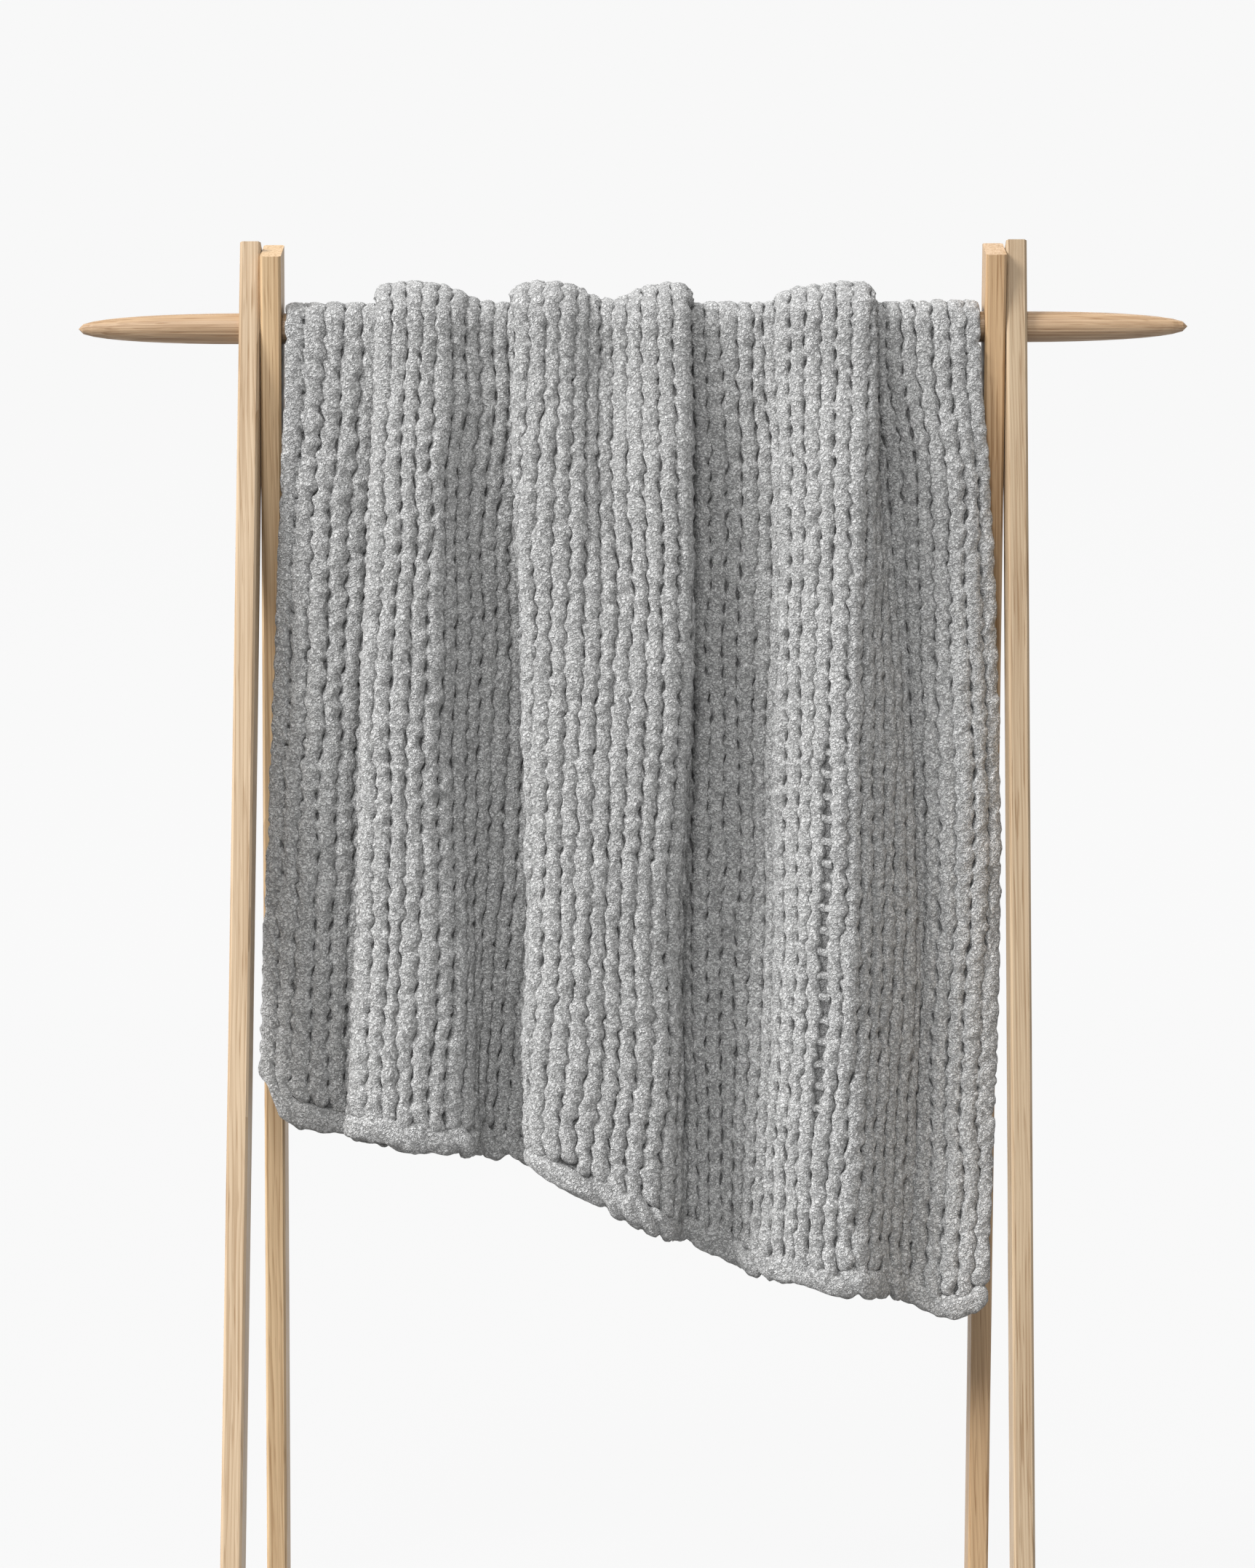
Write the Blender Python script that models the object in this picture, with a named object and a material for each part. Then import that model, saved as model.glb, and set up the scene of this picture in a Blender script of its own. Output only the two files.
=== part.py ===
"""Chunky hand-knit blanket draped over the round rod of an oak rack with two pairs of crossed legs.

Metres, +Z up, floor at z = 0. The rack is centred on the origin, and the long front
of the blanket hangs on the -Y side. Tables give places on the cloth in millimetres.
"""
import math
from collections import namedtuple

import bmesh
import bpy
import numpy as np
from mathutils import Matrix, Vector

MM = 0.001

# Rack
RACK_HEIGHT = 1.75
ROD_HEIGHT = 1.642
ROD_LENGTH = 1.40
ROD_RADIUS = 0.0195
ROD_TAPER = 0.207
ROD_FINENESS = 0.4
LEG_WIDTH = 0.026
LEG_DEPTH = 0.060
LEG_EASING = 0.003
BACK_LEG_X = 0.455
FRONT_LEG_X = 0.482
LEG_SPLAY = math.radians(6.2)
SIDE_LEAN = math.radians(0.4)
TOP_CUT = math.radians(21.0)
FIT_GAP = 0.0003

# Cloth
FLAT_WIDTH = 1.27
FLAT_LENGTH = 1.78
ROPES = 64
ROD_CLEARANCE = 0.0008
THICKNESS_ON_ROD = 0.006
THICKNESS_HANGING = 0.010
RIB_ON_ROD = 0.002
RIB_HANGING = 0.0035
EASE_DROP = 0.16
EDGE_THINNING = 0.6
SWAY = 0.003
SWAY_GROWTH = 0.25
BACK_HALF_WIDTH = 0.434
INWARD_SLOPE = 0.5
INWARD_START = 0.025
INWARD_LIMIT = -0.010

# How the cloth's width folds, from its left edge to its right edge. Each bend has a place
# across the rack and a distance out from the rod's surface, in millimetres, at the rod,
# half a metre down the front and a metre down it.
STATION_DROP = 0.5
SLOW_OPENING = 0.4
Bend = namedtuple("Bend", "name rod_x rod_out middle_x middle_out low_x low_out")
BENDS = (
    Bend("left edge", -437, 5, -447, 0, -465, 8),
    Bend("left panel", -375, 5, -398, 12, -412, 20),
    Bend("first pleat, runs under", -275, 5, -322, -4, -326, 8),
    Bend("first pleat, hidden turn", -263, 11.5, -302, 6, -312, 18),
    Bend("first pleat, way back starts", -273, 18.5, -304, 24, -316, 36),
    Bend("first pleat, way back ends", -310, 18.5, -322, 36, -342, 46),
    Bend("first pleat, left edge", -319, 24, -333, 48, -353, 58),
    Bend("first pleat, crest", -309, 30, -317, 62, -337, 69),
    Bend("first pleat, shoulder", -245, 30, -252, 62, -262, 73),
    Bend("first pleat, brow", -222, 22, -226, 40, -212, 54),
    Bend("first recess, wall", -188, 8, -200, 14, -203, 18),
    Bend("first recess, floor", -150, 5, -146, -6, -176, -10),
    Bend("middle pleat, runs under", -110, 5, -116, -6, -128, -12),
    Bend("middle pleat, left hidden turn", -99, 11.5, -98, 8, -104, 4),
    Bend("middle pleat, left way back starts", -109, 18.5, -106, 26, -110, 24),
    Bend("middle pleat, left way back ends", -139, 18.5, -124, 38, -120, 40),
    Bend("middle pleat, left edge", -148, 24, -133, 50, -126, 54),
    Bend("middle pleat, left crest", -138, 30, -120, 66, -112, 70),
    Bend("middle pleat, left shoulder", -84, 30, -76, 75, -72, 80),
    Bend("middle pleat, dip", -36, 9, -28, 73, -32, 79),
    Bend("middle pleat, right shoulder", 20, 27, 26, 73, 6, 78),
    Bend("middle pleat, right crest", 58, 30, 50, 66, 33, 70),
    Bend("middle pleat, right edge", 68, 24, 62, 50, 46, 54),
    Bend("middle pleat, right way back starts", 59, 18.5, 56, 36, 46, 36),
    Bend("middle pleat, right way back ends", 46, 18.5, 46, 24, 46, 20),
    Bend("middle pleat, right hidden turn", 36, 11.5, 44, 8, 54, 4),
    Bend("second recess, starts", 47, 5, 60, -8, 78, -10),
    Bend("second recess, far side", 112, 5, 118, -9, 122, -9),
    Bend("second panel", 172, 6, 172, 2, 156, 12),
    Bend("third pleat, rise", 196, 20, 191, 34, 188, 44),
    Bend("third pleat, ladder", 256, 30, 247, 71, 224, 67),
    Bend("third pleat, crest", 290, 30, 263, 78, 266, 76),
    Bend("third pleat, right edge", 300, 24, 284, 64, 288, 62),
    Bend("third pleat, way back starts", 291, 18.5, 302, 45, 304, 45),
    Bend("third pleat, way back ends", 276, 18.5, 318, 27, 320, 28),
    Bend("third pleat, hidden turn", 265, 11.5, 332, 9, 336, 12),
    Bend("right panel, starts", 276, 5, 346, -6, 350, -2),
    Bend("right panel", 340, 5, 376, 2, 378, 3),
    Bend("right panel, middle", 398, 7, 420, 14, 412, 18),
    Bend("right edge", 436, 5, 457, 2, 451, 16),
)

# Ropes counted from the left edge that lie at these bends at every drop.
ROPES_BEFORE = {
    "left edge": 0,
    "first pleat, left edge": 10,
    "middle pleat, right edge": 37,
    "third pleat, ladder": 51,
    "right edge": 64,
}
ROPE_SPREAD = 0.030

# Where the front hem lies: across the rack, and down from the rod's axis.
HemPoint = namedtuple("HemPoint", "across drop")
FRONT_HEM = (
    HemPoint(-0.460, 0.960),
    HemPoint(-0.445, 0.993),
    HemPoint(-0.415, 1.008),
    HemPoint(-0.326, 1.023),
    HemPoint(-0.207, 1.041),
    HemPoint(-0.143, 1.049),
    HemPoint(-0.088, 1.080),
    HemPoint(-0.009, 1.115),
    HemPoint(0.050, 1.150),
    HemPoint(0.150, 1.191),
    HemPoint(0.260, 1.215),
    HemPoint(0.340, 1.222),
    HemPoint(0.400, 1.252),
    HemPoint(0.446, 1.238),
)

# Rows of the cloth's mesh: shares of the front and back drop, and turns over the rod.
FRONT_ROWS = (1.0, 0.966, 0.83, 0.66, 0.49, 0.33, 0.18, 0.07)
ROD_TURNS = 6
BACK_ROWS = (0.15, 0.45, 0.80, 0.96, 1.0)

# Fine grid on which the drape is worked out.
SPLINE_STEPS = 12
ACROSS_SAMPLES = 1201
DROP_SAMPLES = 53
LONGEST_DROP = 1.30
SHALLOWEST_SCALE = 0.75
DEEPEST_SCALE = 2.2
SCALE_HALVINGS = 14
FLOOR_SOFTNESS = 0.0015
BEND_WINDOW = 25
HALVING_BEND = 90.0
EXTRAPOLATED_DROP = 1.15
TURN_ROOM = 0.6

OAK = (0.58, 0.43, 0.27)
OAK_ROD = (0.55, 0.39, 0.24)
GREY_WOOL = (0.42, 0.42, 0.415)


def clear_scene():
    for thing in list(bpy.data.objects):
        bpy.data.objects.remove(thing, do_unlink=True)


def principled(name, colour, roughness):
    material = bpy.data.materials.new(name)
    material.use_nodes = True
    shader = material.node_tree.nodes["Principled BSDF"]
    shader.inputs["Base Color"].default_value = (*colour, 1.0)
    shader.inputs["Roughness"].default_value = roughness
    shader.inputs["Metallic"].default_value = 0.0
    return material


def add_object(name, mesh, colour, roughness):
    thing = bpy.data.objects.new(name, mesh)
    bpy.context.collection.objects.link(thing)
    mesh.materials.append(principled(name + "_finish", colour, roughness))
    return thing


# Rack


def rod_profile(steps=9):
    """Distance along the rod from its middle and radius, out to the tip."""
    straight = ROD_LENGTH / 2 - ROD_TAPER
    profile = [(straight, ROD_RADIUS)]
    for step in range(1, steps):
        share = 1.0 - (1.0 - step / steps) ** 1.6
        fullness = 1.0 - share ** 2
        profile.append((straight + ROD_TAPER * share, ROD_RADIUS * fullness ** ROD_FINENESS))
    return profile


def make_rod(sides=28):
    half = rod_profile()
    stations = [(-along, radius) for along, radius in reversed(half)] + half
    mesh = bpy.data.meshes.new("rod")
    shape = bmesh.new()
    rings = []
    for along, radius in stations:
        ring = []
        for side in range(sides):
            turn = 2 * math.pi * side / sides
            place = (along, radius * math.cos(turn), ROD_HEIGHT + radius * math.sin(turn))
            ring.append(shape.verts.new(place))
        rings.append(ring)
    for ring, following in zip(rings, rings[1:]):
        for side in range(sides):
            after = (side + 1) % sides
            shape.faces.new((ring[side], ring[after], following[after], following[side]))
    for end, ring in ((-1, rings[0]), (1, rings[-1])):
        tip = shape.verts.new((end * ROD_LENGTH / 2, 0.0, ROD_HEIGHT))
        for side in range(sides):
            shape.faces.new((ring[side], ring[(side + 1) % sides], tip))
    bmesh.ops.recalc_face_normals(shape, faces=shape.faces)
    shape.to_mesh(mesh)
    shape.free()
    rod = add_object("rod", mesh, OAK_ROD, 0.5)
    mesh.shade_smooth()
    return rod


def leg_outline():
    """The board's section across its length, with its four long edges eased."""
    wide, deep, eased = LEG_WIDTH / 2, LEG_DEPTH / 2, LEG_EASING
    return (
        (wide - eased, deep), (wide, deep - eased), (wide, eased - deep), (wide - eased, -deep),
        (eased - wide, -deep), (-wide, eased - deep), (-wide, deep - eased), (eased - wide, deep),
    )


def cut_away(shape, point, normal):
    """Cut the shape at a plane, remove the side its normal points to and close it."""
    geometry = shape.verts[:] + shape.edges[:] + shape.faces[:]
    bmesh.ops.bisect_plane(
        shape, geom=geometry, plane_co=point, plane_no=normal, clear_outer=True
    )
    rim = [edge for edge in shape.edges if edge.is_boundary]
    bmesh.ops.contextual_create(shape, geom=rim)


def make_leg(name, centre_x, lean, cutter):
    """A board whose foot lies towards lean * Y and a little left, its top end sloping outwards."""
    tilt = Matrix.Rotation(SIDE_LEAN, 4, "Y") @ Matrix.Rotation(lean * LEG_SPLAY, 4, "X")
    place = Matrix.Translation((centre_x, 0.0, ROD_HEIGHT)) @ tilt
    mesh = bpy.data.meshes.new(name)
    shape = bmesh.new()
    lowest, highest = -ROD_HEIGHT * 1.1, (RACK_HEIGHT - ROD_HEIGHT) * 1.6
    floor_ring = [shape.verts.new((x, y, lowest)) for x, y in leg_outline()]
    upper_ring = [shape.verts.new((x, y, highest)) for x, y in leg_outline()]
    count = len(floor_ring)
    for corner in range(count):
        after = (corner + 1) % count
        shape.faces.new((floor_ring[corner], floor_ring[after], upper_ring[after], upper_ring[corner]))
    shape.faces.new(floor_ring)
    shape.faces.new(upper_ring)
    shape.transform(place)
    bmesh.ops.recalc_face_normals(shape, faces=shape.faces)
    cut_away(shape, Vector((0, 0, 0)), Vector((0, 0, -1)))
    rise = RACK_HEIGHT - ROD_HEIGHT
    high_side = lean * (rise * -math.tan(LEG_SPLAY) + LEG_DEPTH / 2)
    slope = Vector((0.0, -lean * math.sin(TOP_CUT), math.cos(TOP_CUT)))
    cut_away(shape, Vector((centre_x, high_side, RACK_HEIGHT)), slope)
    bmesh.ops.recalc_face_normals(shape, faces=shape.faces)
    shape.to_mesh(mesh)
    shape.free()
    leg = add_object(name, mesh, OAK, 0.55)
    hole = leg.modifiers.new("rod hole", "BOOLEAN")
    hole.operation = "DIFFERENCE"
    hole.solver = "EXACT"
    hole.object = cutter
    return leg


def make_rod_cutter(sides=28):
    bpy.ops.mesh.primitive_cylinder_add(
        vertices=sides,
        radius=ROD_RADIUS + FIT_GAP,
        depth=2 * (FRONT_LEG_X + LEG_WIDTH),
        location=(0, 0, ROD_HEIGHT),
        rotation=(0, math.pi / 2, 0),
    )
    cutter = bpy.context.object
    cutter.name = "rod_hole_cutter"
    cutter.hide_render = True
    cutter.display_type = "WIRE"
    return cutter


def make_rack():
    make_rod()
    cutter = make_rod_cutter()
    for side, sign in (("left", -1), ("right", 1)):
        make_leg("leg_front_" + side, sign * FRONT_LEG_X, -1, cutter)
        make_leg("leg_back_" + side, sign * BACK_LEG_X, 1, cutter)


# Cloth


def bend_places(drop):
    """Across and outward places of every bend at one drop, in metres."""
    step = min(drop, EXTRAPOLATED_DROP) / STATION_DROP
    opened = min(step / SLOW_OPENING, 1.0)
    step *= opened * opened * (3 - 2 * opened)
    weights = ((1 - step) * (2 - step) / 2, step * (2 - step), step * (step - 1) / 2)
    across = [np.dot(weights, (b.rod_x, b.middle_x, b.low_x)) for b in BENDS]
    out = [np.dot(weights, (b.rod_out, b.middle_out, b.low_out)) for b in BENDS]
    return np.array(across) * MM, np.array(out) * MM


def back_bend_places(drop):
    """The back opens its folds like the front, but stays between the back legs."""
    opened = min(drop / STATION_DROP, 1.0)
    opened = opened * opened * (3 - 2 * opened)
    rod_across, rod_out = bend_places(0.0)
    across, out = bend_places(STATION_DROP)
    across = across * BACK_HALF_WIDTH / np.abs(across).max()
    return rod_across + opened * (across - rod_across), rod_out + opened * (out - rod_out)


def smooth_curve(points):
    """Points along a centripetal Catmull-Rom curve through the given points."""
    first = 2 * points[0] - points[1]
    last = 2 * points[-1] - points[-2]
    padded = np.vstack((first, points, last))
    curve = []
    for index in range(1, len(padded) - 2):
        p0, p1, p2, p3 = padded[index - 1:index + 3]
        k1 = math.sqrt(np.linalg.norm(p1 - p0))
        k2 = k1 + math.sqrt(np.linalg.norm(p2 - p1))
        k3 = k2 + math.sqrt(np.linalg.norm(p3 - p2))
        k = np.linspace(k1, k2, SPLINE_STEPS, endpoint=False)[:, None]
        a1 = (k1 - k) / k1 * p0 + k / k1 * p1
        a2 = (k2 - k) / (k2 - k1) * p1 + (k - k1) / (k2 - k1) * p2
        a3 = (k3 - k) / (k3 - k2) * p2 + (k - k2) / (k3 - k2) * p3
        b1 = (k2 - k) / k2 * a1 + k / k2 * a2
        b2 = (k3 - k) / (k3 - k1) * a2 + (k - k1) / (k3 - k1) * a3
        curve.append((k2 - k) / (k2 - k1) * b1 + (k - k1) / (k2 - k1) * b2)
    curve.append(points[-1:])
    return np.vstack(curve)


def curve_with_lengths(across, out, depth_scale):
    level = THICKNESS_ON_ROD / 2 + ROD_CLEARANCE
    curve = smooth_curve(np.column_stack((across, level + (out - level) * depth_scale)))
    lengths = np.concatenate(([0.0], np.cumsum(np.linalg.norm(np.diff(curve, axis=0), axis=1))))
    return curve, lengths


def section(across, out):
    """The folded width at one drop, its folds as deep as the cloth's full width needs."""
    shallow, deep = SHALLOWEST_SCALE, DEEPEST_SCALE
    for _ in range(SCALE_HALVINGS):
        scale = (shallow + deep) / 2
        _, lengths = curve_with_lengths(across, out, scale)
        if lengths[-1] < FLAT_WIDTH:
            shallow = scale
        else:
            deep = scale
    curve, lengths = curve_with_lengths(across, out, (shallow + deep) / 2)
    bends = [number for number, bend in enumerate(BENDS) if bend.name in ROPES_BEFORE]
    held = [ROPES_BEFORE[BENDS[number].name] / ROPES for number in bends]
    even = np.linspace(0.0, lengths[-1], ACROSS_SAMPLES)
    share = np.interp(even, lengths[[number * SPLINE_STEPS for number in bends]], held)
    window = 2 * int(ROPE_SPREAD / even[1] / 2) + 1
    padded = np.pad(share, window // 2, mode="reflect", reflect_type="odd")
    share = np.convolve(padded, np.ones(window) / window, mode="valid")
    at = np.interp(np.linspace(0.0, 1.0, ACROSS_SAMPLES), share, even)
    return np.interp(at, lengths, curve[:, 0]), np.interp(at, lengths, curve[:, 1])


def uneven(share, drop):
    """Small sideways and outward sway, so that no fold hangs dead straight."""
    grown = np.clip(drop / SWAY_GROWTH, 0.0, 1.0)
    aside = np.sin(9.0 * share + 7.5 * drop) + 0.6 * np.sin(23.0 * share - 13.0 * drop + 1.0)
    outward = np.sin(14.0 * share + 9.0 * drop + 2.0)
    return SWAY * grown * aside * np.sin(math.pi * share), SWAY * grown * outward


def kept_outside(outward, drop):
    """Lift the cloth softly off the rod, and below it off the other half of the blanket."""
    resting = THICKNESS_ON_ROD / 2 + ROD_CLEARANCE
    floor = max(resting - INWARD_SLOPE * max(drop - INWARD_START, 0.0), INWARD_LIMIT)
    return floor + FLOOR_SOFTNESS * np.logaddexp(0.0, (outward - floor) / FLOOR_SOFTNESS)


def room_in_bends(bend):
    """Share of its thickness that the cloth keeps on the hollow side of its tight turns."""
    window = np.ones(BEND_WINDOW) / BEND_WINDOW
    hollow = np.array([np.convolve(np.maximum(row, 0.0), window, mode="same") for row in bend])
    return 1.0 / (1.0 + (hollow / HALVING_BEND) ** 2)


class Drape:
    """The cloth's middle surface on one side of the rod, on a grid of drops and widths."""

    def __init__(self, places):
        self.drops = np.linspace(0.0, LONGEST_DROP, DROP_SAMPLES)
        self.shares = np.linspace(0.0, 1.0, ACROSS_SAMPLES)
        x_rows, out_rows = [], []
        for drop in self.drops:
            x, out = section(*places(drop))
            aside, outward = uneven(self.shares, drop)
            x_rows.append(x + aside)
            out_rows.append(kept_outside(out + outward, drop))
        self.x = np.array(x_rows)
        self.out = np.array(out_rows)
        slope_x = np.gradient(self.x, axis=1)
        slope_out = np.gradient(self.out, axis=1)
        size = np.hypot(slope_x, slope_out)
        self.normal_x = -slope_out / size
        self.normal_out = slope_x / size
        heading = np.unwrap(np.arctan2(slope_out, slope_x), axis=1)
        bend = np.gradient(heading, axis=1) * (ACROSS_SAMPLES - 1) / FLAT_WIDTH
        self.outer_room = room_in_bends(bend)
        self.inner_room = room_in_bends(-bend)

    def at(self, share, drop):
        """Place across, distance out, outer normal in that plane, and room outside and inside."""
        row = np.clip(drop / self.drops[1], 0, DROP_SAMPLES - 1.001)
        column = np.clip(share * (ACROSS_SAMPLES - 1), 0, ACROSS_SAMPLES - 1.001)
        low, left = int(row), int(column)
        up, along = row - low, column - left
        values = []
        for grid in (self.x, self.out, self.normal_x, self.normal_out, self.outer_room, self.inner_room):
            near = grid[low, left] * (1 - along) + grid[low, left + 1] * along
            far = grid[low + 1, left] * (1 - along) + grid[low + 1, left + 1] * along
            values.append(near * (1 - up) + far * up)
        return values


def hem_drop(across):
    return float(np.interp(across, [p.across for p in FRONT_HEM], [p.drop for p in FRONT_HEM]))


def cloth_columns(front):
    """Shares of the width with a column: each rope's edge and ridge, and the tight turns."""
    halves = 2 * ROPES
    shares = set(half / halves for half in range(halves + 1))
    for half in range(halves):
        between = (half + 0.5) / halves
        _, _, _, _, outer_room, inner_room = front.at(between, 0.0)
        if min(outer_room, inner_room) < TURN_ROOM:
            shares.add(between)
    return sorted(shares)


def offsets(side, share, drop, edge):
    """Distances of the outer and inner faces from the middle surface."""
    _, _, _, _, outer_room, inner_room = side.at(share, drop)
    hanging = min(drop / EASE_DROP, 1.0)
    thickness = THICKNESS_ON_ROD + hanging * (THICKNESS_HANGING - THICKNESS_ON_ROD)
    rib = RIB_ON_ROD + hanging * (RIB_HANGING - RIB_ON_ROD)
    ridge = outer_room ** 3 * abs(math.sin(math.pi * share * ROPES))
    if edge:
        thickness *= EDGE_THINNING
        ridge = 0.0
    return thickness / 2 * outer_room + rib * ridge, -thickness / 2 * inner_room


def cloth_point(side, share, drop, turn, offset):
    """World place of a point; turn is the angle from the rod's top towards the back."""
    x, out, normal_x, normal_out, _, _ = side.at(share, drop)
    radius = ROD_RADIUS + out + normal_out * offset
    fall = 0.0 if abs(turn) < math.pi / 2 else drop
    height = ROD_HEIGHT + radius * math.cos(turn) - fall
    return Vector((x + normal_x * offset, radius * math.sin(turn), height))


def cloth_rows(front, share):
    """Side, drop and turn of each row of one column, from the front hem to the back hem."""
    front_drop = hem_drop(front.at(share, 1.0)[0])
    rod_out = front.at(share, 0.0)[1]
    back_drop = FLAT_LENGTH - front_drop - math.pi * (ROD_RADIUS + rod_out)
    rows = [("front", part * front_drop, -math.pi / 2) for part in FRONT_ROWS]
    for step in range(ROD_TURNS + 1):
        rows.append(("front", 0.0, math.pi * (step / ROD_TURNS - 0.5)))
    rows += [("back", part * back_drop, math.pi / 2) for part in BACK_ROWS]
    return rows


def make_blanket():
    front = Drape(bend_places)
    sides = {"front": front, "back": Drape(back_bend_places)}
    columns = cloth_columns(front)
    shape = bmesh.new()
    outer, inner = [], []
    for share in columns:
        rows = cloth_rows(front, share)
        outer_column, inner_column = [], []
        for index, (side_name, drop, turn) in enumerate(rows):
            side = sides[side_name]
            edge = index in (0, len(rows) - 1) or share in (columns[0], columns[-1])
            outside, inside = offsets(side, share, drop, edge)
            outer_column.append(shape.verts.new(cloth_point(side, share, drop, turn, outside)))
            inner_column.append(shape.verts.new(cloth_point(side, share, drop, turn, inside)))
        outer.append(outer_column)
        inner.append(inner_column)
    join_faces(shape, outer, inner)
    bmesh.ops.recalc_face_normals(shape, faces=shape.faces)
    mesh = bpy.data.meshes.new("blanket")
    shape.to_mesh(mesh)
    shape.free()
    return add_object("blanket", mesh, GREY_WOOL, 0.95)


def join_faces(shape, outer, inner):
    """Close the cloth: its outer and inner faces, both hems and both side edges."""
    last_row = len(outer[0]) - 1
    for column in range(len(outer) - 1):
        out_a, out_b = outer[column], outer[column + 1]
        in_a, in_b = inner[column], inner[column + 1]
        for row in range(last_row):
            shape.faces.new((out_a[row], out_b[row], out_b[row + 1], out_a[row + 1]))
            shape.faces.new((in_a[row], in_a[row + 1], in_b[row + 1], in_b[row]))
        shape.faces.new((out_a[0], in_a[0], in_b[0], out_b[0]))
        shape.faces.new((out_a[last_row], out_b[last_row], in_b[last_row], in_a[last_row]))
    for column in (0, len(outer) - 1):
        for row in range(last_row):
            shape.faces.new((
                outer[column][row], outer[column][row + 1], inner[column][row + 1], inner[column][row]
            ))


def main():
    clear_scene()
    make_rack()
    make_blanket()


main()
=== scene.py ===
"""Looks of a chunky hand-knit blanket draped over the round rod of an oak rack.

Metres, +Z up, floor at z = 0. The long front of the blanket hangs on the -Y side, where
the camera stands. Tables give places on the cloth in millimetres.
"""
import math
from collections import namedtuple

import bpy
import numpy as np
from bpy.props import FloatProperty, FloatVectorProperty, IntProperty, PointerProperty
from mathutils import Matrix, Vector


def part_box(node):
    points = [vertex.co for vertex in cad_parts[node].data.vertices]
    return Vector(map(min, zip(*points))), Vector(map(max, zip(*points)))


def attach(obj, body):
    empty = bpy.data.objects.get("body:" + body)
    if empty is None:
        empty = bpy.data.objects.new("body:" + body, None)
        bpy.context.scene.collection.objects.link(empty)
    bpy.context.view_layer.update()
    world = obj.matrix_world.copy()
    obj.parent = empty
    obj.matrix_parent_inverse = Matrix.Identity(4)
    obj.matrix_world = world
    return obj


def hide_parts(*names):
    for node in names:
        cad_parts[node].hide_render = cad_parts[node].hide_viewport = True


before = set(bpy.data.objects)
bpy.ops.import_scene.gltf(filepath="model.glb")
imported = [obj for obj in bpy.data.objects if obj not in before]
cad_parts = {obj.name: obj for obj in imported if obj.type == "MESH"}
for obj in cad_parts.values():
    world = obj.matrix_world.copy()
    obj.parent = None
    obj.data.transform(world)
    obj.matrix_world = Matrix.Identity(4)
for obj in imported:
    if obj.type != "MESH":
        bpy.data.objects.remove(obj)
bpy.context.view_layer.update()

bl_info = {
    "name": "Chunky knit blanket on an oak rack",
    "version": (1, 0, 0),
    "blender": (4, 5, 0),
    "location": "View3D > Sidebar > Knit blanket",
    "description": "Dresses a draped blanket with knitted yarn ropes and its rack with oak",
    "category": "Add Mesh",
}

BODY = "root"
MM = 0.001

# Rod, as built.
ROD_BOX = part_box("rod")
ROD_HEIGHT = (ROD_BOX[0][2] + ROD_BOX[1][2]) / 2
ROD_RADIUS = (ROD_BOX[1][2] - ROD_BOX[0][2]) / 2
LEG_SPLAY = math.radians(6.2)
SIDE_LEAN = math.radians(0.4)

# Cloth, as built.
FLAT_WIDTH = 1.27
FLAT_LENGTH = 1.78
ROPES = 64
ROPE_PITCH = FLAT_WIDTH / ROPES
ROD_CLEARANCE = 0.0008
THICKNESS_ON_ROD = 0.006
EASE_DROP = 0.16
SWAY = 0.003
SWAY_GROWTH = 0.25
BACK_HALF_WIDTH = 0.434
INWARD_SLOPE = 0.5
INWARD_START = 0.025
INWARD_LIMIT = -0.010

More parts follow.
